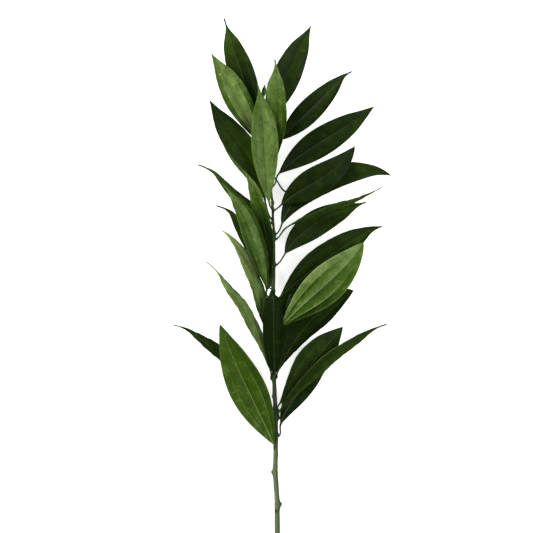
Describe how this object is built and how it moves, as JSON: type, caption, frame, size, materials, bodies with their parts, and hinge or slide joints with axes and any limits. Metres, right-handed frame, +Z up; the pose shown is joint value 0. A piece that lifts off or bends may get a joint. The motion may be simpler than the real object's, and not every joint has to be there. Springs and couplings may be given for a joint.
{
  "type": "cut foliage branch",
  "caption": "Cut branch of laurel-leaved cocculus: long glossy three-nerved leaves on short stalks all along the upper part of a slim green stem, lying flat.",
  "frame": {"origin": "middle of the bounding box in plan, at the height of the surface the branch lies on", "axes": "+X to the right, +Y along the stem from its cut end to its tip, +Z up from the surface"},
  "size_m": [0.2192, 0.5575, 0.0581],
  "materials": {
    "leaf": "glossy dark green leaf with paler nerves",
    "leaf_light": "glossy leaf that catches the light, pale green between darker grooves",
    "stem": "green young bark, darker and greyer towards the cut end"
  },
  "bodies": {
    "root": {"stem": "stem", "leaf_left_1": "leaf", "leaf_left_2": "leaf", "leaf_left_3": "leaf_light", "leaf_left_4": "leaf_light", "leaf_left_5": "leaf", "leaf_left_6": "leaf_light", "leaf_left_7": "leaf_light", "leaf_left_8": "leaf", "leaf_left_9": "leaf", "leaf_left_10": "leaf_light", "leaf_left_11": "leaf", "leaf_right_1": "leaf", "leaf_right_2": "leaf", "leaf_right_3": "leaf", "leaf_right_4": "leaf_light", "leaf_right_5": "leaf", "leaf_right_6": "leaf", "leaf_right_7": "leaf", "leaf_right_8": "leaf", "leaf_right_9": "leaf", "leaf_right_10": "leaf", "leaf_right_11": "leaf", "leaf_right_12": "leaf", "leaf_right_13": "leaf", "leaf_front_1": "leaf", "leaf_front_2": "leaf_light", "leaf_front_3": "leaf_light", "leaf_back_1": "leaf", "leaf_back_2": "leaf", "leaf_back_3": "leaf", "leaf_young": "leaf_light"}
  },
  "joints": []
}
